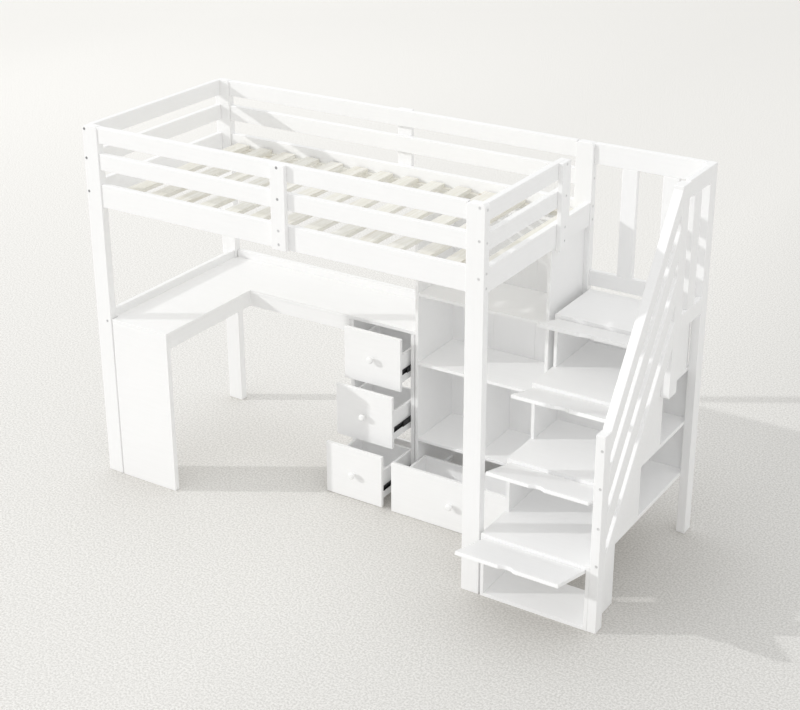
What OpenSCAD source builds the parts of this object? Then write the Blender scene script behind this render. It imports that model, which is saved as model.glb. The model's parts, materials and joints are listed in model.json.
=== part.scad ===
// Loft bed with an L-shaped desk, a drawer cabinet, a bookshelf and a storage staircase.
// X runs along the bed, Y from front to back and Z up. The origin is the centre of the
// front-left post's foot. All lengths are in millimetres.

/* [Bed frame] */
// Length over the bed posts
bed_l = 2080; // [1980:10:2180]
// Width over the bed posts
bed_w = 990; // [950:10:1040]
// Height of the posts
bed_h = 1752; // [1700:4:1850]
// Width of a post, along the bed
post_w = 85; // [70:1:95]
// Thickness of a post, across the bed
post_t = 40; // [35:1:50]
// Radius of a post's top corners
post_round = 16; // [5:1:18]
// Thickness of the rails
rail_t = 28; // [22:1:30]
// How far the rails sit behind the posts' outer faces
rail_inset = 5; // [2:1:6]
// Height of a guard rail
guard_h = 75; // [60:1:80]
// Height of the low side and end rails
side_h = 108; // [90:1:120]
// Gap between the upper and middle guard rails
guard_gap = 50; // [40:1:60]
// Gap between the middle guard rail and the side rail
side_gap = 70; // [60:1:80]
// Width of the upright stiles that tie the rails together
stile_w = 75; // [60:1:80]
// Thickness of a stile
stile_t = 22; // [18:1:24]

/* [Slats] */
// Number of slats
slat_count = 14; // [10:1:16]
// Width of a slat
slat_w = 71; // [60:1:80]
// Thickness of a slat
slat_t = 20; // [15:1:22]
// Distance from one slat to the next
slat_pitch = 141.5; // [120:0.5:142]
// Left edge of the first slat
slat_start = 133; // [100:1:135]
// Top of the slats above the floor
slat_top = 1443; // [1435:1:1455]

/* [Desk] */
// Height of the desk top
desk_h = 820; // [780:1:840]
// Thickness of the desk top
desk_t = 17; // [15:1:25]
// Reach of the desk's left run from the bed's left face
desk_left = 420; // [380:1:480]
// Front edge of the desk's back run
desk_back_y = 632; // [600:1:660]
// Height of the aprons
apron_h = 66; // [50:1:80]
// Thickness of the front panel
desk_leg_t = 26; // [18:1:30]
// Height of the upstands above the desk top
upstand_h = 38; // [20:1:50]

/* [Drawer cabinet] */
// Left face of the cabinet
cabinet_x = 1006; // [950:1:1020]
// Width of the cabinet
cabinet_w = 357; // [330:1:360]
// Thickness of the cabinet's side panels
cabinet_t = 20; // [16:1:22]
// Front face of the cabinet
cabinet_y = 640; // [635:1:660]
// How far each drawer stands open, from the top one down
small_open = [86, 159, 252]; // [0:1:270]
// Gap round a drawer front
drawer_gap = 3.5; // [2:0.5:4]

/* [Bookshelf] */
// Left face of the bookshelf
shelf_x = 1374; // [1370:1:1380]
// Width of the bookshelf
shelf_w = 682; // [640:1:690]
// Front face of the bookshelf
shelf_y = 630; // [600:1:660]
// Height of the bookshelf
shelf_h = 1362; // [1300:1:1366]
// Tops of the three shelves
shelf_tops = [275, 670, 1016]; // [260:1:1300]
// Thickness of the panels
panel_t = 16; // [15:1:18]
// How far the wide drawer stands open
wide_open = 243; // [0:1:270]

/* [Staircase] */
// Left face of the staircase
stair_x = 2088; // [2085:1:2100]
// Width of the staircase
stair_w = 502; // [450:1:520]
// Tops of the three steps and the landing
step_tops = [304, 561, 827, 1075]; // [290:1:1080]
// Front edge of each step and of the landing
step_y = [0, 215, 426, 620]; // [0:1:640]
// Back edge of every step
stair_back = 962; // [940:1:962]
// Thickness of the steps
step_t = 17; // [15:1:20]
// Angle at which the flap doors stand open
flap_open = 105; // [0:1:105]
// Thickness of a flap door
flap_t = 16; // [14:1:18]

/* [Stair guard] */
// Thickness of the guard's posts and handrail, along the bed
newel_t = 41; // [38:1:45]
// Depth of the front newel post, across the bed
newel_d = 57; // [45:1:60]
// Height of the front newel post
newel_h = 905; // [880:1:920]
// Bottom of the hanging middle post
hang_z = 805; // [790:1:815]
// Slope of the handrail, as a rise per unit run
guard_slope = 1.443; // [1.4:0.001:1.5]
// Thickness of the guard boards
guard_t = 24; // [18:1:26]

/* [Hidden] */
white = [0.95, 0.95, 0.94];
pine = [0.86, 0.78, 0.60];
steel = [0.60, 0.61, 0.63];
black = [0.10, 0.10, 0.11];
eps = 1;

guard_top_z = bed_h - guard_h;
guard_mid_z = guard_top_z - guard_gap - guard_h;
side_z = guard_mid_z - side_gap - side_h;
rail_zs = [guard_top_z, guard_mid_z];
side_top = side_z + side_h;

left_rail_x = rail_inset;
right_rail_x = bed_l - rail_inset - rail_t;
front_rail_y = rail_inset;
back_rail_y = bed_w - rail_inset - rail_t;

front_stile_x = 1058;
end_stile_y = 628;
end_stile_drop = 18;
cleat_h = 25;
cleat_end_gap = 5;
slat_end_gap = 2;

upstand_t = 24;
upstand_x = 54;
upstand_drop = 60;
upstand_z = desk_h - upstand_drop;
desk_bolt_z = desk_h - 14;
desk_bolt_x = upstand_x + 7;
post_gap = 3;
desk_lip_x = post_w + 7;
desk_edge = 2;
board_t = 18;
desk_under = desk_h - desk_t;
desk_right = shelf_x - 1;

cabinet_in_x = cabinet_x + cabinet_t;
cabinet_in_w = cabinet_w - 2 * cabinet_t;
cabinet_back = 950;
cabinet_rail_t = 14;
cabinet_rail_h = 42;
cabinet_rail_zs = [8, desk_under - 45];
small_pitch = 266;
small_z = 3;
small_front_h = 263;
front_t = 18;
box_t = 12;
box_l = 272;
box_h = 144;
box_rise = 33;
box_floor_t = 6;
slide_w = 13;
slide_l = 272;
slide_wall = 1.5;
slide_rise = 55;
cabinet_slide_h = 30;
cabinet_slide_reach = 9;
middle_slide_x = 3;
middle_slide_h = 26;
middle_slide_reach = 7;
drawer_slide_h = 21;
drawer_slide_reach = 7.5;

shelf_back = 943;
shelf_back_t = 6;
shelf_t = 15;
shelf_inset = 1;
divider_x = 1693;
bead_pitch = 220;
bead_w = 3;
bead_d = 2;
wide_z = 2;
wide_front_h = 254;
wide_box_z = 45;
wide_box_h = 118;
wide_box_l = 282;
wide_gap = 3;
runner_w = 14;
runner_h = 20;
runner_gap = 0.5;
runner_end_gap = 2;

knob_d = 33;
knob_neck_d = 14;
knob_neck_l = 12;
knob_head_t = 18;
knob_screw_d = 4;
knob_screw_fit = 0.1;

stair_in_x = stair_x + panel_t;
stair_in_w = stair_w - 2 * panel_t;
stair_right = stair_x + stair_w;
right_panel_ends = [243, 472, 664, 905];
base_t = 15;
base_l = 250;
stair_back_t = 8;
stair_back_trim = 2;
flap_gap = 3;
flap_side = 2;
flap_recess = 1;
pivot_back = 5;
pivot_drop = 7;
pivot_d = 5;
pivot_fit = 0.1;
pivot_reach = 14;
notch_w = 70;
notch_d = 18;

guard_x = stair_right + newel_t - guard_t;
newel_x = stair_right;
hang_y = 628;
corner_y = 925;
corner_l = bed_w - corner_y;
slope_start = 60;
handrail_c = 810;
handrail_h = 102;
board_c = 614;
board_h = 121;
board_pitch = 196;
landing_rail_z = 1090;
back_rail_zs = [landing_rail_z, bed_h - 93];
back_rail_hs = [71, 93];
hang_top = bed_h - 6;
back_guard_y = 964;
side_baluster_y = 760;
back_baluster_xs = [2213, 2403];
baluster_w = 72;

bolt_d = 7;
bolt_head_d = 13;
bolt_head_t = 3;
bolt_fit = 0.2;
bolt_grip = 24;
socket_d = 6;
socket_depth = 2;
cross_bolt_inset = 8;
cross_bolt_zs = [side_top - 41, guard_mid_z + 47, guard_top_z + 59];
long_bolt_zs = [side_z + 26, side_top - 20, guard_mid_z + 38, guard_top_z + 50];
stile_bolt_zs = [side_z + 26, side_top - 20, guard_mid_z + 50, guard_top_z + 63];
newel_bolt_zs = [317, 491, 671, 839];
newel_bolt_grip = 9;
stile_bolt_end = 6;

// Steps are counted from 0, and what is under the first one is the floor
function step_under(n) = step_tops[n] - step_t;
function floor_of(n) = n == 0 ? 0 : step_tops[n - 1];
// The axis of flap door n
function pivot_z(n) = step_under(n) - pivot_drop;
function pivot_y(n) = step_y[n] + flap_recess + pivot_back;
// Height at y of a sloping line that has the level c where the slope starts
function guard_z(y, c) = c + guard_slope * (y - slope_start);

// Moves the design from the bed's front-left corner to the origin at the post's foot
module placed() translate([-post_w / 2, -post_t / 2, 0]) children();

// A board with its near lower left corner at p and the size s
module board(p, s) translate(p) cube(s);

// A bolt of length l along +Z, its head sunk flush, or the hole for it where loose is the extra diameter
module bolt(l, loose) {
    cylinder(d = bolt_head_d + loose, h = bolt_head_t, $fn = 32);
    cylinder(d = bolt_d + loose, h = l + loose, $fn = 32);
}

// The finished bolt where solid is true, and otherwise the hole for it
module fastener(l, solid) {
    if (solid) difference() {
        bolt(l, 0);
        translate([0, 0, -eps]) cylinder(d = socket_d, h = socket_depth + eps, $fn = 6);
    }
    else bolt(l, bolt_fit);
}

// Places its children so that +Z points along +Y (back), -Y, +X or -X
module facing_back(x, y, z) translate([x, y, z]) rotate([-90, 0, 0]) children();
module facing_front(x, y, z) translate([x, y, z]) rotate([90, 0, 0]) children();
module facing_right(x, y, z) translate([x, y, z]) rotate([0, 90, 0]) children();
module facing_left(x, y, z) translate([x, y, z]) rotate([0, -90, 0]) children();

// Bolts through the posts: across the bed into the end rails, and along it into the long ones
module frame_bolts(solid = false) {
    rail_xs = [left_rail_x + cross_bolt_inset, right_rail_x + cross_bolt_inset];
    across = post_t + bolt_grip;
    along = post_w + bolt_grip;
    for (z = cross_bolt_zs, x = rail_xs) facing_back(x, 0, z) fastener(across, solid);
    for (z = cross_bolt_zs) facing_front(rail_xs[0], bed_w, z) fastener(across, solid);
    facing_front(rail_xs[1], bed_w, cross_bolt_zs[0]) fastener(across, solid);
    for (z = long_bolt_zs, y = [front_rail_y + rail_t / 2, back_rail_y + rail_t / 2]) {
        facing_right(0, y, z) fastener(along, solid);
        facing_left(bed_l, y, z) fastener(along, solid);
    }
}

// Bolts through the three stiles into the rails
module stile_bolts(solid = false) {
    l = stile_t + rail_t - stile_bolt_end;
    x = front_stile_x + stile_w / 2;
    y = end_stile_y + stile_w / 2;
    for (z = stile_bolt_zs) {
        facing_back(x, front_rail_y - stile_t, z) fastener(l, solid);
        facing_front(x, back_rail_y + rail_t + stile_t, z) fastener(l, solid);
        facing_left(right_rail_x + rail_t + stile_t, y, z) fastener(l, solid);
    }
}

// Bolts through the newel post into the sloping boards
module newel_bolts(solid = false) {
    for (z = newel_bolt_zs)
        facing_back(guard_x + guard_t / 2, 0, z) fastener(newel_d + newel_bolt_grip, solid);
}

// Bolts through the left posts into the desk's left upstand
module desk_bolts(solid = false) {
    l = post_t + bolt_grip;
    facing_back(desk_bolt_x, 0, desk_bolt_z) fastener(l, solid);
    facing_front(desk_bolt_x, bed_w, desk_bolt_z) fastener(l, solid);
}

// Outline of a post seen from the front, with rounded top corners
module post_outline(w, h) {
    square([w, h - post_round]);
    translate([post_round, 0]) square([w - 2 * post_round, h]);
    for (x = [post_round, w - post_round])
        translate([x, h - post_round]) circle(post_round, $fn = 48);
}

module bed_post(x, y) {
    color(white) placed() difference() {
        translate([x, y + post_t, 0]) rotate([90, 0, 0])
            linear_extrude(post_t) post_outline(post_w, bed_h);
        frame_bolts();
        desk_bolts();
    }
}

module front_left_post() bed_post(0, 0);
module front_right_post() bed_post(bed_l - post_w, 0);
module back_left_post() bed_post(0, bed_w - post_t);
module back_right_post() bed_post(bed_l - post_w, bed_w - post_t);

// A rail along the bed between two posts
module long_rail(y, z, h) board([post_w, y, z], [bed_l - 2 * post_w, rail_t, h]);

// A rail across the bed from the front post to the given y
module cross_rail(x, z, h, y_end) board([x, post_t, z], [rail_t, y_end - post_t, h]);

module long_guard_rails() {
    color(white) placed() difference() {
        for (z = rail_zs, y = [front_rail_y, back_rail_y]) long_rail(y, z, guard_h);
        frame_bolts();
        stile_bolts();
    }
}

module end_guard_rails() {
    color(white) placed() difference() {
        for (z = rail_zs) {
            cross_rail(left_rail_x, z, guard_h, bed_w - post_t);
            cross_rail(right_rail_x, z, guard_h, end_stile_y + stile_w);
        }
        frame_bolts();
        stile_bolts();
    }
}

module side_rails() {
    color(white) placed() difference() {
        for (y = [front_rail_y, back_rail_y]) long_rail(y, side_z, side_h);
        frame_bolts();
        stile_bolts();
    }
}

module end_rails() {
    color(white) placed() difference() {
        for (x = [left_rail_x, right_rail_x]) cross_rail(x, side_z, side_h, bed_w - post_t);
        frame_bolts();
        stile_bolts();
    }
}

module guard_stiles() {
    color(white) placed() difference() {
        union() {
            for (y = [front_rail_y - stile_t, back_rail_y + rail_t])
                board([front_stile_x, y, side_z], [stile_w, stile_t, bed_h - side_z]);
            board(
                [right_rail_x + rail_t, end_stile_y, side_z - end_stile_drop],
                [stile_t, stile_w, bed_h - side_z + end_stile_drop]
            );
        }
        stile_bolts();
    }
}

module slat_cleats() {
    l = bed_l - 2 * (post_w + cleat_end_gap);
    z = slat_top - slat_t - cleat_h;
    color(pine) placed() for (y = [front_rail_y + rail_t, back_rail_y - cleat_h])
        board([post_w + cleat_end_gap, y, z], [l, cleat_h, cleat_h]);
}

module bed_slats() {
    y = post_t + slat_end_gap;
    color(pine) placed() for (i = [0 : slat_count - 1])
        board([slat_start + i * slat_pitch, y, slat_top - slat_t], [slat_w, bed_w - 2 * y, slat_t]);
}

// Outline of the desk top, notched round the bed's two left posts
module desk_outline() {
    in_x = upstand_x + upstand_t;
    notch_x = post_w + post_gap;
    front_notch_y = post_t + post_gap;
    back_notch_y = bed_w - post_t - post_gap;
    polygon([
        [desk_lip_x, 0],
        [desk_left, 0],
        [desk_left, desk_back_y],
        [desk_right, desk_back_y],
        [desk_right, back_guard_y],
        [notch_x, back_guard_y],
        [notch_x, back_notch_y],
        [in_x, back_notch_y],
        [in_x, front_notch_y],
        [desk_lip_x, front_notch_y]
    ]);
}

module desk_top() {
    color(white) placed() translate([0, 0, desk_under]) linear_extrude(desk_t) desk_outline();
}

module desk_front_panel() {
    w = desk_left - desk_edge - desk_lip_x;
    color(white) placed() board([desk_lip_x, 0, 0], [w, desk_leg_t, desk_under]);
}

module desk_aprons() {
    right = desk_left - desk_edge;
    back_y = desk_back_y + desk_edge;
    z = desk_under - apron_h;
    color(white) placed() {
        board([right - board_t, desk_leg_t, z], [board_t, back_y + board_t - desk_leg_t, apron_h]);
        board([right, back_y, z], [cabinet_x - right, board_t, apron_h]);
    }
}

module desk_upstands() {
    h = upstand_drop + upstand_h;
    x = post_w + post_gap;
    color(white) placed() difference() {
        union() {
            board([upstand_x, post_t, upstand_z], [upstand_t, bed_w - 2 * post_t, h]);
            board([x, back_guard_y, upstand_z], [desk_right - x, upstand_t, h]);
        }
        desk_bolts();
    }
}

// Two side panels and two back rails under the desk's right end
module cabinet_frame() {
    rail_y = cabinet_back - cabinet_rail_t;
    color(white) placed() {
        for (x = [cabinet_x, cabinet_in_x + cabinet_in_w])
            board([x, cabinet_y, 0], [cabinet_t, cabinet_back - cabinet_y, desk_under]);
        for (z = cabinet_rail_zs)
            board([cabinet_in_x, rail_y, z], [cabinet_in_w, cabinet_rail_t, cabinet_rail_h]);
    }
}

// A C-shaped steel channel: its web at x, its lips reaching towards +X
module channel(x, y, z, h, reach) {
    translate([x, y, z - h / 2]) {
        cube([slide_wall, slide_l, h]);
        cube([reach, slide_l, slide_wall]);
        translate([0, 0, h - slide_wall]) cube([reach, slide_l, slide_wall]);
    }
}

// Both sides of a drawer get the child, mirrored about the cabinet's middle
module both_sides() {
    middle = cabinet_in_x + cabinet_in_w / 2;
    translate([cabinet_in_x, 0, 0]) children();
    translate([2 * middle - cabinet_in_x, 0, 0]) mirror([1, 0, 0]) children();
}

// Lower edge of small drawer n's front, counted from 0 at the top
function small_front_z(n) = small_z + (2 - n) * small_pitch;
function slide_z(n) = small_front_z(n) + box_rise + slide_rise;

module slide_cabinet_members() {
    color(black) placed() both_sides() for (n = [0 : 2])
        channel(0, cabinet_y + front_t, slide_z(n), cabinet_slide_h, cabinet_slide_reach);
}

module slide_middles(n) {
    y = cabinet_y + front_t - small_open[n] / 2;
    color(steel) placed() both_sides()
        channel(middle_slide_x, y, slide_z(n), middle_slide_h, middle_slide_reach);
}

module slide_members(n) {
    y = cabinet_y + front_t - small_open[n];
    color(black) placed() both_sides() translate([slide_w, 0, 0]) mirror([1, 0, 0])
        channel(0, y, slide_z(n), drawer_slide_h, drawer_slide_reach);
}

module small_front(n) {
    w = cabinet_in_w - 2 * drawer_gap;
    y = cabinet_y - small_open[n];
    color(white) placed() difference() {
        board([cabinet_in_x + drawer_gap, y, small_front_z(n)], [w, front_t, small_front_h]);
        knob_hole(cabinet_in_x + cabinet_in_w / 2, y, small_front_z(n) + small_front_h / 2);
    }
}

// Sides, back and floor of a drawer box with its outer corner at p and outer size s
module drawer_box(p, s) {
    for (x = [0, s[0] - box_t]) board(p + [x, 0, 0], [box_t, s[1], s[2]]);
    board(p + [box_t, s[1] - box_t, 0], [s[0] - 2 * box_t, box_t, s[2]]);
    board(p + [box_t, 0, box_floor_t], [s[0] - 2 * box_t, s[1] - box_t, box_floor_t]);
}

module small_box(n) {
    y = cabinet_y + front_t - small_open[n];
    color(white) placed() drawer_box(
        [cabinet_in_x + slide_w, y, small_front_z(n) + box_rise],
        [cabinet_in_w - 2 * slide_w, box_l, box_h]
    );
}

module knob_hole(x, y, z) {
    d = knob_screw_d + knob_screw_fit;
    facing_back(x, y - eps, z) cylinder(d = d, h = front_t + 2 * eps, $fn = 24);
}

// A turned knob with a round rim on a neck, and the screw that goes through the drawer front
module knob(x, y, z) {
    rim_r = knob_head_t / 2;
    facing_front(x, y, z) {
        cylinder(d = knob_neck_d, h = knob_neck_l + eps, $fn = 40);
        translate([0, 0, knob_neck_l]) rotate_extrude($fn = 60) {
            square([knob_d / 2 - rim_r, knob_head_t]);
            translate([knob_d / 2 - rim_r, rim_r]) intersection() {
                circle(rim_r, $fn = 40);
                translate([0, -rim_r]) square([rim_r, knob_head_t]);
            }
        }
    }
    facing_back(x, y, z) cylinder(d = knob_screw_d, h = front_t + eps, $fn = 24);
}

module small_knob(n) {
    color(white) placed() knob(
        cabinet_in_x + cabinet_in_w / 2,
        cabinet_y - small_open[n],
        small_front_z(n) + small_front_h / 2
    );
}

module top_drawer_front() small_front(0);
module top_drawer_box() small_box(0);
module top_drawer_knob() small_knob(0);
module top_slide_members() slide_members(0);
module top_slide_middles() slide_middles(0);
module middle_drawer_front() small_front(1);
module middle_drawer_box() small_box(1);
module middle_drawer_knob() small_knob(1);
module middle_slide_members() slide_members(1);
module middle_slide_middles() slide_middles(1);
module bottom_drawer_front() small_front(2);
module bottom_drawer_box() small_box(2);
module bottom_drawer_knob() small_knob(2);
module bottom_slide_members() slide_members(2);
module bottom_slide_middles() slide_middles(2);

module bookshelf_sides() {
    depth = shelf_back + shelf_back_t - shelf_y;
    color(white) placed() for (x = [shelf_x, shelf_x + shelf_w - panel_t])
        board([x, shelf_y, 0], [panel_t, depth, shelf_h]);
}

module bookshelf_shelves() {
    y = shelf_y + shelf_inset;
    color(white) placed() for (z = shelf_tops)
        board([shelf_x + panel_t, y, z - shelf_t], [shelf_w - 2 * panel_t, shelf_back - y, shelf_t]);
}

// An upright board that halves the bay between the two lower shelves
module bookshelf_divider() {
    y = shelf_y + shelf_inset;
    h = shelf_tops[1] - shelf_t - shelf_tops[0];
    color(white) placed() board([divider_x, y, shelf_tops[0]], [panel_t, shelf_back - y, h]);
}

// A thin back panel with upright beading grooves
module bookshelf_back() {
    x = shelf_x + panel_t;
    w = shelf_w - 2 * panel_t;
    color(white) placed() difference() {
        board([x, shelf_back, 0], [w, shelf_back_t, shelf_h]);
        for (gx = [bead_pitch : bead_pitch : w - bead_w])
            board([x + gx, shelf_back - eps, -eps], [bead_w, bead_d + eps, shelf_h + 2 * eps]);
    }
}

// Strips on which the wide drawer's sides slide
module wide_drawer_runners() {
    left = shelf_x + panel_t;
    right = shelf_x + shelf_w - panel_t - runner_w;
    y = shelf_y + front_t + runner_end_gap;
    z = wide_box_z - runner_gap - runner_h;
    color(white) placed() for (x = [left, right])
        board([x, y, z], [runner_w, shelf_back - runner_end_gap - y, runner_h]);
}

module wide_drawer_front() {
    x = shelf_x + panel_t + drawer_gap;
    w = shelf_w - 2 * panel_t - 2 * drawer_gap;
    color(white) placed() difference() {
        board([x, shelf_y - wide_open, wide_z], [w, front_t, wide_front_h]);
        knob_hole(x + w / 2, shelf_y - wide_open, wide_z + wide_front_h / 2);
    }
}

module wide_drawer_box() {
    w = shelf_w - 2 * panel_t - 2 * wide_gap;
    color(white) placed() drawer_box(
        [shelf_x + panel_t + wide_gap, shelf_y + front_t - wide_open, wide_box_z],
        [w, wide_box_l, wide_box_h]
    );
}

module wide_drawer_knob() {
    color(white) placed()
        knob(shelf_x + shelf_w / 2, shelf_y - wide_open, wide_z + wide_front_h / 2);
}

// Step n runs the full width of the staircase and back to the rear shelves
module stair_step(n) {
    color(white) placed()
        board([stair_x, step_y[n], step_under(n)], [stair_w, stair_back - step_y[n], step_t]);
}

module step_1() stair_step(0);
module step_2() stair_step(1);
module step_3() stair_step(2);
module landing() stair_step(3);

// Holes for the flap doors' pivot pins
module pivot_holes() {
    for (n = [0 : 3]) facing_right(stair_in_x - pivot_reach, pivot_y(n), pivot_z(n))
        cylinder(d = pivot_d + pivot_fit, h = stair_in_w + 2 * pivot_reach, $fn = 32);
}

module stair_left_panels() {
    color(white) placed() difference() {
        for (n = [0 : 3]) board(
            [stair_x, step_y[n], floor_of(n)],
            [panel_t, stair_back - step_y[n], step_under(n) - floor_of(n)]
        );
        pivot_holes();
    }
}

module stair_right_panels() {
    x = stair_right - panel_t;
    color(white) placed() difference() {
        for (n = [0 : 3]) board(
            [x, step_y[n], floor_of(n)],
            [panel_t, right_panel_ends[n] - step_y[n], step_under(n) - floor_of(n)]
        );
        pivot_holes();
    }
}

// The base board, the upright boards behind the cubbies, and a thin panel behind the rear shelves
module stair_dividers() {
    ends = [0, right_panel_ends[1], right_panel_ends[2], stair_back];
    back_h = step_tops[2] - stair_back_trim - step_under(0);
    color(white) placed() {
        board([stair_in_x, 0, 0], [stair_in_w, base_l, base_t]);
        for (n = [1 : 3]) board(
            [stair_in_x, ends[n] - panel_t, floor_of(n)],
            [stair_in_w, panel_t, step_under(n) - floor_of(n)]
        );
        board([stair_x, stair_back, step_under(0)], [stair_w, stair_back_t, back_h]);
    }
}

// Flap door n hangs from its pivots, with a round top edge and a finger notch in its free edge
module flap(n) {
    w = stair_in_w - 2 * flap_side;
    floor_z = n == 0 ? base_t : floor_of(n);
    drop = pivot_z(n) - floor_z - flap_gap;
    notch_r = (notch_w * notch_w / 4 + notch_d * notch_d) / (2 * notch_d);
    color(white) placed()
        translate([stair_in_x + flap_side, pivot_y(n), pivot_z(n)]) rotate([-flap_open, 0, 0])
            difference() {
                union() {
                    translate([0, -pivot_back, -drop]) cube([w, flap_t, drop]);
                    cube([w, flap_t - pivot_back, pivot_back]);
                    rotate([0, 90, 0]) cylinder(r = pivot_back, h = w, $fn = 48);
                }
                translate([w / 2, 0, -drop - notch_r + notch_d]) rotate([90, 0, 0])
                    cylinder(r = notch_r, h = 2 * flap_t, center = true, $fn = 96);
                for (x = [-eps, w - pivot_reach]) translate([x, 0, 0]) rotate([0, 90, 0])
                    cylinder(d = pivot_d + pivot_fit, h = pivot_reach + eps, $fn = 32);
            }
}

module flap_1() flap(0);
module flap_2() flap(1);
module flap_3() flap(2);
module flap_4() flap(3);

// Eight steel pins, two for each flap door
module flap_pivots() {
    left = stair_in_x - pivot_reach;
    right = stair_in_x + stair_in_w - pivot_reach;
    color(steel) placed() for (n = [0 : 3], x = [left, right])
        facing_right(x, pivot_y(n), pivot_z(n)) cylinder(d = pivot_d, h = 2 * pivot_reach, $fn = 32);
}

module newel_post() {
    color(white) placed() difference() {
        board([newel_x, 0, 0], [newel_t, newel_d, newel_h]);
        newel_bolts();
    }
}

module hanging_post() {
    color(white) placed()
        board([newel_x, hang_y, hang_z], [newel_t, stile_w, hang_top - hang_z]);
}

module corner_post() {
    color(white) placed() board([newel_x, corner_y, 0], [newel_t, corner_l, bed_h]);
}

// A sloping board between the newel and the hanging post, its lower edge at the level c
module sloping_board(x, w, c, h) {
    y0 = newel_d;
    y1 = hang_y;
    translate([x + w, 0, 0]) rotate([0, -90, 0]) linear_extrude(w) polygon([
        [guard_z(y0, c), y0],
        [guard_z(y1, c), y1],
        [guard_z(y1, c + h), y1],
        [guard_z(y0, c + h), y0]
    ]);
}

module handrail() {
    color(white) placed() difference() {
        sloping_board(newel_x, newel_t, handrail_c, handrail_h);
        newel_bolts();
    }
}

module guard_boards() {
    color(white) placed() difference() {
        for (i = [0 : 2]) sloping_board(guard_x, guard_t, board_c - i * board_pitch, board_h);
        newel_bolts();
    }
}

// Upper and lower rails of the landing's guard, on its right and its back
module landing_rails() {
    side_y = hang_y + stile_w;
    color(white) placed() {
        for (z = [landing_rail_z, guard_top_z])
            board([guard_x, side_y, z], [guard_t, corner_y - side_y, guard_h]);
        for (i = [0, 1])
            board([bed_l, back_guard_y, back_rail_zs[i]], [newel_x - bed_l, guard_t, back_rail_hs[i]]);
    }
}

module landing_balusters() {
    side_z0 = landing_rail_z + guard_h;
    back_z0 = landing_rail_z + back_rail_hs[0];
    back_h = back_rail_zs[1] - back_z0;
    color(white) placed() {
        board([guard_x, side_baluster_y, side_z0], [guard_t, stile_w, guard_top_z - side_z0]);
        for (x = back_baluster_xs) board([x, back_guard_y, back_z0], [baluster_w, guard_t, back_h]);
    }
}

module bolts() {
    color(steel) placed() {
        frame_bolts(true);
        stile_bolts(true);
        newel_bolts(true);
        desk_bolts(true);
    }
}

front_left_post();
front_right_post();
back_left_post();
back_right_post();
long_guard_rails();
end_guard_rails();
side_rails();
end_rails();
guard_stiles();
slat_cleats();
bed_slats();
desk_top();
desk_front_panel();
desk_aprons();
desk_upstands();
cabinet_frame();
slide_cabinet_members();
top_drawer_front();
top_drawer_box();
top_drawer_knob();
top_slide_members();
top_slide_middles();
middle_drawer_front();
middle_drawer_box();
middle_drawer_knob();
middle_slide_members();
middle_slide_middles();
bottom_drawer_front();
bottom_drawer_box();
bottom_drawer_knob();
bottom_slide_members();
bottom_slide_middles();
bookshelf_sides();
bookshelf_shelves();
bookshelf_divider();
bookshelf_back();
wide_drawer_runners();
wide_drawer_front();
wide_drawer_box();
wide_drawer_knob();
step_1();
step_2();
step_3();
landing();
stair_left_panels();
stair_right_panels();
stair_dividers();
flap_1();
flap_2();
flap_3();
flap_4();
flap_pivots();
newel_post();
hanging_post();
corner_post();
handrail();
guard_boards();
landing_rails();
landing_balusters();
bolts();
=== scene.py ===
"""Looks of the white loft bed with its desk, drawers, bookshelf and staircase.

Every board is shown as a copy of its CAD node with rounded edges. The knobs, bolts, pins and
slides keep their CAD shapes. All of them get finishes made of nodes.
"""

import json
import math

import bmesh
import bpy
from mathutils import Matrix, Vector


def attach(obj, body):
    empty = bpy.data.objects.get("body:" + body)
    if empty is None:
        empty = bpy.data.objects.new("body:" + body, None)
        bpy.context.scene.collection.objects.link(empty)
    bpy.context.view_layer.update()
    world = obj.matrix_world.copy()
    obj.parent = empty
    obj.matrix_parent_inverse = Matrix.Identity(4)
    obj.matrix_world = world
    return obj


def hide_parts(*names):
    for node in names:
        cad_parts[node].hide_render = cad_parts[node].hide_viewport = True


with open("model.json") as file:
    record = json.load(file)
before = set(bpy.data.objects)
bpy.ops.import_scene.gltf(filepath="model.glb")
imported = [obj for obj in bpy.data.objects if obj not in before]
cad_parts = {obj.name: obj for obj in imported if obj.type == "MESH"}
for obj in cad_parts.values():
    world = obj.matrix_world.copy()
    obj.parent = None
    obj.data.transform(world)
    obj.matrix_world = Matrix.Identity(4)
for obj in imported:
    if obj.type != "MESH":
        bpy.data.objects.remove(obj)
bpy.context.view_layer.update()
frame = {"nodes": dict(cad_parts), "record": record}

bodies = frame["record"]["behaviour"]["bodies"]
slots = {s["node"]: s["material_slot"] for s in frame["record"]["subparts"]}
body_of = {node: body for body, nodes in bodies.items() for node in nodes}

# Camera: its place in metres from the bed's front-left foot, its turn in degrees and its lens in mm
CAMERA_PLACE = (4.79025, -4.97773, 3.72663)
CAMERA_TURN = (67.691, 0.111, 32.228)
CAMERA_LENS = 70.27
CAMERA_SHIFT = (-0.0029, -0.0816)

# Light: an even sky and distant lamps, each with a name, where its light travels, its strength,
# its width in degrees and whether it casts shadows. The fills stand for light thrown back by the room.
SKY_COLOUR = (1.0, 1.0, 0.998, 1)
SKY_STRENGTH = 0.78
DISTANT_LAMPS = [
    ("sun", (0.801, 0.486, -0.350), 1.34, 0.8, True),
    ("top_fill", (-0.1255, 0.2264, -0.9659), 0.435, 20, False),
    ("right_fill", (-0.9744, 0.0853, -0.2079), 0.177, 20, False),
    ("low_fill", (-0.480, 0.866, -0.139), 0.084, 20, False),
]
# A soft box behind the bed: its place, size in metres and power in watts, and the point it faces
BOX_PLACE = (-4.0, 6.0, 5.0)
BOX_SIZE = 6.0
BOX_POWER = 30
LIT_POINT = (1.2, 0.4, 0.7)
FLOOR_SIZE = 60.0
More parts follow.
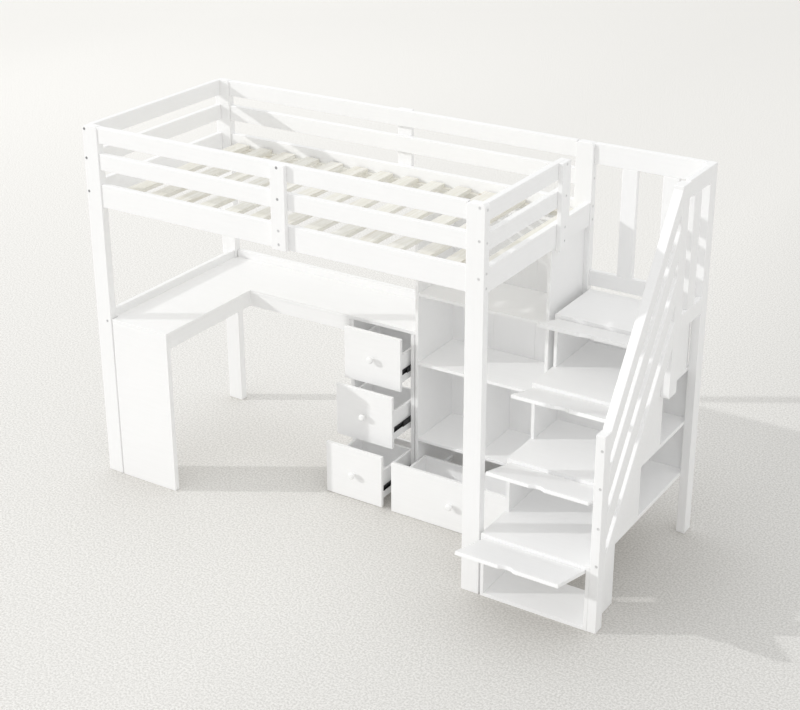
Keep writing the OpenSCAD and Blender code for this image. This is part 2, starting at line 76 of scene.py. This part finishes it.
# Painted light and shade along X: the floor is palest at the first of these and dullest at the second
FLOOR_PAINTED_LIGHT_X = -6.0
FLOOR_PAINTED_SHADE_X = 2.7

# Which points are joined and which edges are rounded; lengths are in metres
WELD = 0.00002
FLAT_ANGLE = math.radians(0.6)
SHARP_ANGLE = math.radians(35)
HOLE_SPAN = 0.030
# A face turned no further than this from one of the board's own faces is shaded flat
FLAT_MATCH = math.cos(math.radians(1.5))
NORMAL_DIGITS = 4
# Edge rounding in metres, and its number of steps
POST_EDGE = 0.0026
RAIL_EDGE = 0.0022
PANEL_EDGE = 0.0012
SLAT_EDGE = 0.0018
BEADING_EDGE = 0.0004
EDGE_STEPS = 3

POSTS = ["front_left_post", "front_right_post", "back_left_post", "back_right_post",
         "newel_post", "hanging_post", "corner_post"]
UPRIGHTS = ["guard_stiles", "landing_balusters"]
LONG_RAILS = ["long_guard_rails", "side_rails", "landing_rails", "handrail", "guard_boards"]
CROSS_RAILS = ["end_guard_rails", "end_rails"]

# Scale of a pattern along each axis: where it is below 1, the pattern runs long that way
GRAIN = {"x": (0.06, 1, 1), "y": (1, 0.06, 1), "z": (1, 1, 0.06)}
SLAT_SCALE = (7, 0.3, 1)
KNOT_SHAPE = (1, 0.7, 1)

# Noise patterns: scale per metre, detail, and where they differ from the usual, roughness and distortion
PAINT_FIBRES = (95, 5, 0.62, 0.25)
PAINT_CLOUDS = (2.2, 2)
PAINT_ROLLER = (620, 2)
PINE_RINGS = (26, 3, 0.55, 1.1)
PINE_FIBRES = (240, 4, 0.6)
PINE_BATCHES = (1.0, 1)
KNOT_FLECKS = (90, 2)
STEEL_LINES = (900, 3)
STEEL_PATCHES = (60, 2)
FLOOR_SPECKLE = (105, 2, 0.7)
# Most of a pattern's values lie between these two
PATTERN_LOW = 0.2
PATTERN_HIGH = 0.8

# Bumps: height in metres and strength
PAINT_FIBRE_BUMP = (0.00022, 0.6)
PAINT_ROLLER_BUMP = (0.00006, 0.5)
PINE_BUMP = (0.0002, 0.7)
STEEL_BUMP = (0.00004, 0.6)
FLOOR_BUMP = (0.0006, 0.5)

# White paint: its tone, what multiplies it along the fibres and in the clouds, and its roughness
PAINT_TONE = 0.92
PAINT_FIBRE_TONES = [
    (0.25, (0.985, 0.984, 0.980)),
    (0.55, (1, 1, 0.998)),
    (0.80, (1.008, 1.008, 1.006)),
]
PAINT_CLOUD_TONES = [(0.30, (0.985, 0.985, 0.985)), (0.70, (1, 1, 1))]
BOARD_ROUGHNESS = 0.42
BEADING_ROUGHNESS = 0.45
KNOB_ROUGHNESS = 0.26
PAINT_ROUGHER = 0.08
PAINT_SMOOTHER = 0.05
PAINT_SHEEN = {"Specular IOR Level": 0.42, "Coat Weight": 0.12, "Coat Roughness": 0.25}

# Pine: its growth rings, then what multiplies them along the fibres and from slat to slat
PINE_RING_TONES = [
    (0.30, (0.77, 0.745, 0.67)),
    (0.46, (0.885, 0.88, 0.845)),
    (0.54, (0.82, 0.81, 0.745)),
    (0.70, (0.91, 0.91, 0.885)),
]
PINE_FIBRE_TONES = [(0.30, (0.93, 0.92, 0.89)), (0.65, (1, 1, 1))]
PINE_BATCH_TONES = [(0.35, (0.93, 0.92, 0.90)), (0.65, (1, 1, 1))]
# Knots: their number per metre, where one starts to fade and where it ends, its strength and its tones
KNOT_SCALE = 5.5
KNOT_CORE = 0.035
KNOT_RIM = 0.075
KNOT_STRENGTH = 0.55
KNOT_TONES = [(0.3, (0.30, 0.18, 0.08)), (0.7, (0.46, 0.32, 0.17))]
PINE_ROUGHEST = 0.66
PINE_SMOOTHEST = 0.52
PINE_SHEEN = {"Specular IOR Level": 0.35}

# Metals: dark and light patches, roughness, metallic share and the axis of the drawn lines
BLACK_STEEL = ((0.012, 0.012, 0.013), (0.028, 0.028, 0.030), 0.38, 0.6, "y")
ZINC = ((0.72, 0.72, 0.72), (0.86, 0.86, 0.86), 0.34, 0.5, "z")
PIVOT_STEEL = ((0.42, 0.42, 0.43), (0.58, 0.58, 0.59), 0.30, 1.0, "x")
PATCH_LOW = 0.3
PATCH_HIGH = 0.7
STEEL_ROUGHER = 0.1
STEEL_SMOOTHER = 0.06
# Painted shade and reflection on the bolts: their colour is dimmed at the bed's top left and brightened
# towards the stairs and the floor
PAINTED_LIGHT_COURSE = (0.38, 0, -0.6)
PAINTED_LIGHT_START = -1.05
PAINTED_LIGHT_END = 0.8
ZINC_PAINTED_LIGHT_TONES = [
    (0.01, (0.36, 0.36, 0.37)),
    (0.11, (0.41, 0.41, 0.42)),
    (0.24, (0.53, 0.53, 0.54)),
    (0.28, (0.70, 0.70, 0.71)),
    (0.31, (0.86, 0.86, 0.87)),
    (0.37, (0.92, 0.92, 0.92)),
    (0.44, (0.95, 0.95, 0.95)),
    (0.90, (0.88, 0.88, 0.88)),
]

# Floor: its grain, then painted light and shade that multiply it along X, and painted shade close to what
# stands on it
FLOOR_GRAIN_TONES = [(0.39, (0.755, 0.745, 0.715)), (0.61, (0.97, 0.96, 0.932))]
FLOOR_PAINTED_LIGHT_TONES = [
    (0.0, (1, 1, 1)),
    (0.6, (0.9, 0.9, 0.9)),
    (0.84, (0.9, 0.9, 0.9)),
    (1.0, (0.79, 0.79, 0.79)),
]
# Painted shade on the floor close to what stands on it: its tones, then how far and with how many rays it
# looks for things
FLOOR_PAINTED_SHADE_TONES = [(0.25, (0.74, 0.725, 0.71)), (0.98, (1, 1, 1))]
PAINTED_SHADE_REACH = 0.9
PAINTED_SHADE_RAYS = 16
FLOOR_SHEEN = {"Roughness": 0.9, "Specular IOR Level": 0.2}

# Sockets of the Mix node that hold colours
MIX_FACTOR, MIX_FIRST, MIX_SECOND = 0, 6, 7
MIX_COLOUR = 2


# ---------------------------------------------------------------- materials

def new_material(name):
    """A new material with a bare shader, its node tree and that shader."""
    material = bpy.data.materials.new(name)
    material.use_nodes = True
    tree = material.node_tree
    tree.nodes.clear()
    shader = tree.nodes.new("ShaderNodeBsdfPrincipled")
    output = tree.nodes.new("ShaderNodeOutputMaterial")
    tree.links.new(shader.outputs["BSDF"], output.inputs["Surface"])
    return material, tree, shader


def set_inputs(node, values):
    """Sets a node's sockets by their names."""
    for name, value in values.items():
        node.inputs[name].default_value = value


def object_space(tree, scale=(1, 1, 1)):
    """The frame's coordinates in metres, scaled along each axis."""
    place = tree.nodes.new("ShaderNodeTexCoord")
    mapping = tree.nodes.new("ShaderNodeMapping")
    set_inputs(mapping, {"Scale": scale})
    tree.links.new(place.outputs["Object"], mapping.inputs["Vector"])
    return mapping.outputs["Vector"]


def noise(tree, vector, scale, detail, roughness=0.5, distortion=0.0):
    """A noise pattern, from 0 to 1."""
    node = tree.nodes.new("ShaderNodeTexNoise")
    set_inputs(node, {"Scale": scale, "Detail": detail, "Roughness": roughness, "Distortion": distortion})
    tree.links.new(vector, node.inputs["Vector"])
    return node.outputs["Fac"]


def spread(tree, value, low, high, to_low, to_high):
    """The value's range from low to high, laid over the range from to_low to to_high."""
    node = tree.nodes.new("ShaderNodeMapRange")
    set_inputs(node, {"From Min": low, "From Max": high, "To Min": to_low, "To Max": to_high})
    tree.links.new(value, node.inputs["Value"])
    return node.outputs["Result"]


def ramp(tree, value, stops):
    """A colour ramp over the value; each stop is a place and a colour."""
    node = tree.nodes.new("ShaderNodeValToRGB")
    elements = node.color_ramp.elements
    while len(elements) < len(stops):
        elements.new(0.5)
    for element, (place, colour) in zip(elements, stops):
        element.position = place
        element.color = (*colour, 1)
    tree.links.new(value, node.inputs["Fac"])
    return node.outputs["Color"]


def mix(tree, factor, a, b, kind="MIX"):
    """Two colours mixed by a value or by a fixed factor."""
    node = tree.nodes.new("ShaderNodeMix")
    node.data_type = "RGBA"
    node.blend_type = kind
    if isinstance(factor, float):
        node.inputs[MIX_FACTOR].default_value = factor
    else:
        tree.links.new(factor, node.inputs[MIX_FACTOR])
    tree.links.new(a, node.inputs[MIX_FIRST])
    tree.links.new(b, node.inputs[MIX_SECOND])
    return node.outputs[MIX_COLOUR]


def multiply(tree, first, *others):
    """Colours multiplied one after another."""
    for other in others:
        first = mix(tree, 1.0, first, other, "MULTIPLY")
    return first


def bump(tree, pattern, height, strength, below=None):
    """A bump made by a pattern, on top of another bump where below is given."""
    node = tree.nodes.new("ShaderNodeBump")
    set_inputs(node, {"Distance": height, "Strength": strength})
    tree.links.new(pattern, node.inputs["Height"])
    if below is not None:
        tree.links.new(below, node.inputs["Normal"])
    return node.outputs["Normal"]


def white_lacquer(name, grain, rough=BOARD_ROUGHNESS):
    """Satin white paint on planed wood: grain that shows faintly through, and a roller's fine texture."""
    material, tree, shader = new_material(name)
    along = object_space(tree, GRAIN[grain])
    even = object_space(tree)
    fibres = noise(tree, along, *PAINT_FIBRES)
    clouds = noise(tree, even, *PAINT_CLOUDS)
    roller = noise(tree, even, *PAINT_ROLLER)
    tint = ramp(tree, fibres, [
        (place, [PAINT_TONE * part for part in colour]) for place, colour in PAINT_FIBRE_TONES
    ])
    shade = ramp(tree, clouds, PAINT_CLOUD_TONES)
    tree.links.new(multiply(tree, tint, shade), shader.inputs["Base Color"])
    sheen = spread(tree, fibres, PATTERN_LOW, PATTERN_HIGH, rough + PAINT_ROUGHER, rough - PAINT_SMOOTHER)
    tree.links.new(sheen, shader.inputs["Roughness"])
    skin = bump(tree, roller, *PAINT_ROLLER_BUMP)
    tree.links.new(bump(tree, fibres, *PAINT_FIBRE_BUMP, skin), shader.inputs["Normal"])
    set_inputs(shader, PAINT_SHEEN)
    return material


def bare_pine(name, grain):
    """Planed pale pine, with growth rings, fibres and a few darker knots."""
    material, tree, shader = new_material(name)
    along = object_space(tree, GRAIN[grain])
    even = object_space(tree)
    rings = noise(tree, along, *PINE_RINGS)
    fibres = noise(tree, along, *PINE_FIBRES)
    batches_and_painted_light = noise(tree, object_space(tree, SLAT_SCALE), *PINE_BATCHES)
    wood = ramp(tree, rings, PINE_RING_TONES)
    fine = ramp(tree, fibres, PINE_FIBRE_TONES)
    batch = ramp(tree, batches_and_painted_light, PINE_BATCH_TONES)
    toned = multiply(tree, wood, fine, batch)
    knots = tree.nodes.new("ShaderNodeTexVoronoi")
    set_inputs(knots, {"Scale": KNOT_SCALE})
    tree.links.new(object_space(tree, KNOT_SHAPE), knots.inputs["Vector"])
    spot = spread(tree, knots.outputs["Distance"], KNOT_CORE, KNOT_RIM, KNOT_STRENGTH, 0.0)
    dark = ramp(tree, noise(tree, even, *KNOT_FLECKS), KNOT_TONES)
    tree.links.new(mix(tree, spot, toned, dark), shader.inputs["Base Color"])
    sheen = spread(tree, fibres, PATTERN_LOW, PATTERN_HIGH, PINE_ROUGHEST, PINE_SMOOTHEST)
    tree.links.new(sheen, shader.inputs["Roughness"])
    tree.links.new(bump(tree, fibres, *PINE_BUMP), shader.inputs["Normal"])
    set_inputs(shader, PINE_SHEEN)
    return material


def metal(name, dark, light, rough, metallic, grain, batches_and_painted_light=None):
    """Coated or plated steel: drawn lines along the grain, and a patchy sheen.

    Where the last argument is given, its tones are painted shade and reflection that multiply the colour
    along a fixed course through the frame, as stops of a ramp.
    """
    material, tree, shader = new_material(name)
    lines = noise(tree, object_space(tree, GRAIN[grain]), *STEEL_LINES)
    patches = noise(tree, object_space(tree), *STEEL_PATCHES)
    colour = ramp(tree, patches, [(PATCH_LOW, dark), (PATCH_HIGH, light)])
    # painted shade and reflection: the colour is dimmed and brightened along a fixed course through the
    # frame
    if batches_and_painted_light:
        course = tree.nodes.new("ShaderNodeVectorMath")
        course.operation = "DOT_PRODUCT"
        course.inputs[1].default_value = PAINTED_LIGHT_COURSE
        tree.links.new(object_space(tree), course.inputs[0])
        along = spread(tree, course.outputs["Value"], PAINTED_LIGHT_START, PAINTED_LIGHT_END, 0.0, 1.0)
        colour = multiply(tree, colour, ramp(tree, along, batches_and_painted_light))
    tree.links.new(colour, shader.inputs["Base Color"])
    sheen = spread(tree, lines, PATTERN_LOW, PATTERN_HIGH, rough + STEEL_ROUGHER, rough - STEEL_SMOOTHER)
    tree.links.new(sheen, shader.inputs["Roughness"])
    tree.links.new(bump(tree, lines, *STEEL_BUMP), shader.inputs["Normal"])
    set_inputs(shader, {"Metallic": metallic})
    return material


def floor_finish():
    """Pale warm plaster-like floor: a fine grain, with painted light and shade that make it duller to the
    right, and painted shade where things stand on it.
    """
    material, tree, shader = new_material("pale_floor")
    even = object_space(tree)
    speckle = noise(tree, even, *FLOOR_SPECKLE)
    grain = ramp(tree, speckle, FLOOR_GRAIN_TONES)
    apart = tree.nodes.new("ShaderNodeSeparateXYZ")
    tree.links.new(even, apart.inputs["Vector"])
    # painted light and shade: the floor is paler to the left and duller to the right
    across = spread(tree, apart.outputs["X"], FLOOR_PAINTED_LIGHT_X, FLOOR_PAINTED_SHADE_X, 0.0, 1.0)
    painted_light_band = ramp(tree, across, FLOOR_PAINTED_LIGHT_TONES)
    # painted shade: the floor's colour darkens where things stand close by
    shade_probe = tree.nodes.new("ShaderNodeAmbientOcclusion")
    shade_probe.samples = PAINTED_SHADE_RAYS
    set_inputs(shade_probe, {"Distance": PAINTED_SHADE_REACH})
    painted_shade = ramp(tree, shade_probe.outputs["AO"], FLOOR_PAINTED_SHADE_TONES)
    tree.links.new(multiply(tree, grain, painted_light_band, painted_shade), shader.inputs["Base Color"])
    tree.links.new(bump(tree, speckle, *FLOOR_BUMP), shader.inputs["Normal"])
    set_inputs(shader, FLOOR_SHEEN)
    return material


# ---------------------------------------------------------------- pieces

def is_hole(edges):
    """True where the joined edges span no more than a bolt's or pin's hole."""
    points = [v.co for e in edges for v in e.verts]
    span = Vector([max(p[i] for p in points) - min(p[i] for p in points) for i in range(3)])
    return span.length < HOLE_SPAN


def joined_groups(edges):
    """The edges, sorted into groups that touch at their ends."""
    left = set(edges)
    groups = []
    while left:
        group = {left.pop()}
        front = list(group)
        while front:
            edge = front.pop()
            for vertex in edge.verts:
                for other in vertex.link_edges:
                    if other in left:
                        left.remove(other)
                        group.add(other)
                        front.append(other)
        groups.append(group)
    return groups


def soften(node, radius, material):
    """Makes a copy of a CAD node with its outer edges rounded, which is shown in its place."""
    mesh = bpy.data.meshes.new(node + "_finished")
    bm = bmesh.new()
    bm.from_mesh(frame["nodes"][node].data)
    bmesh.ops.remove_doubles(bm, verts=bm.verts, dist=WELD)
    bmesh.ops.dissolve_limit(bm, angle_limit=FLAT_ANGLE, verts=bm.verts, edges=bm.edges)
    sharp = [
        e for e in bm.edges
        if len(e.link_faces) == 2 and e.is_convex and e.calc_face_angle() > SHARP_ANGLE
    ]
    chosen = [e for group in joined_groups(sharp) if not is_hole(group) for e in group]
    bm.normal_update()
    flats = {tuple(round(part, NORMAL_DIGITS) for part in face.normal) for face in bm.faces}
    bmesh.ops.bevel(
        bm, geom=chosen, offset=radius, offset_type="OFFSET", segments=EDGE_STEPS,
        profile=0.5, affect="EDGES", clamp_overlap=False,
    )
    bm.normal_update()
    for face in bm.faces:
        face.smooth = all(face.normal.dot(Vector(flat)) < FLAT_MATCH for flat in flats)
    bm.to_mesh(mesh)
    bm.free()
    mesh.materials.append(material)
    piece = bpy.data.objects.new(node + "_finished", mesh)
    bpy.context.scene.collection.objects.link(piece)
    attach(piece, body_of[node])
    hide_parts(node)


def repaint(node, material):
    """Gives a CAD node that stays in view its finish."""
    mesh = frame["nodes"][node].data
    mesh.materials.clear()
    mesh.materials.append(material)


def dress_all():
    """Every node gets its finish, and every board its rounded edges."""
    white = {axis: white_lacquer("white_lacquer_" + axis, axis) for axis in "xyz"}
    beaded = white_lacquer("beaded_panel", "z", BEADING_ROUGHNESS)
    knob_paint = white_lacquer("knob_lacquer", "y", KNOB_ROUGHNESS)
    pine = {axis: bare_pine("bare_pine_" + axis, axis) for axis in "xy"}
    repainted = {
        "knob_lacquer": knob_paint,
        "black_slide_steel": metal("black_slide_steel", *BLACK_STEEL),
        "zinc_bolt": metal("zinc_bolt", *ZINC, ZINC_PAINTED_LIGHT_TONES),
        # the zinc bolts get painted shade and reflection by where they stand
        "pivot_steel": metal("pivot_steel", *PIVOT_STEEL),
    }
    for node, slot in slots.items():
        if slot in repainted:
            repaint(node, repainted[slot])
        elif slot == "bare_pine":
            soften(node, SLAT_EDGE, pine["y" if node == "bed_slats" else "x"])
        elif slot == "beaded_panel":
            soften(node, BEADING_EDGE, beaded)
        elif node in POSTS + UPRIGHTS:
            soften(node, POST_EDGE, white["z"])
        elif node in LONG_RAILS:
            soften(node, RAIL_EDGE, white["x"])
        elif node in CROSS_RAILS:
            soften(node, RAIL_EDGE, white["y"])
        else:
            soften(node, PANEL_EDGE, white["x"])


# ---------------------------------------------------------------- stage

def add_lamp(light, place, travel):
    """Puts a light into the scene, shining along travel."""
    lamp = bpy.data.objects.new(light.name, light)
    lamp.location = place
    lamp.rotation_euler = Vector(travel).to_track_quat("-Z", "Y").to_euler()
    bpy.context.scene.collection.objects.link(lamp)


def build_stage():
    """A pale floor that runs on all round, a low sun, soft fills, a soft box and an even sky."""
    bpy.ops.mesh.primitive_plane_add(size=FLOOR_SIZE, location=(0, 0, 0))
    floor = bpy.context.object
    floor.name = "floor"
    floor.data.materials.append(floor_finish())

    for name, travel, strength, width, casts_shadow in DISTANT_LAMPS:
        sun = bpy.data.lights.new(name, "SUN")
        sun.energy = strength
        sun.angle = math.radians(width)
        sun.use_shadow = casts_shadow
        add_lamp(sun, (0, 0, 0), travel)

    box = bpy.data.lights.new("back_box", "AREA")
    box.energy = BOX_POWER
    box.size = BOX_SIZE
    add_lamp(box, BOX_PLACE, Vector(LIT_POINT) - Vector(BOX_PLACE))

    world = bpy.data.worlds.new("studio")
    world.use_nodes = True
    sky = world.node_tree.nodes["Background"]
    set_inputs(sky, {"Color": SKY_COLOUR, "Strength": SKY_STRENGTH})
    bpy.context.scene.world = world
    bpy.context.scene.view_settings.view_transform = "Standard"


def build_camera():
    """The camera stands to the right of the bed's front and looks down on it."""
    data = bpy.data.cameras.new("camera")
    data.lens = CAMERA_LENS
    data.shift_x, data.shift_y = CAMERA_SHIFT
    camera = bpy.data.objects.new("camera", data)
    camera.location = CAMERA_PLACE
    camera.rotation_euler = [math.radians(turn) for turn in CAMERA_TURN]
    bpy.context.scene.collection.objects.link(camera)
    bpy.context.scene.camera = camera


build_camera()
build_stage()
dress_all()
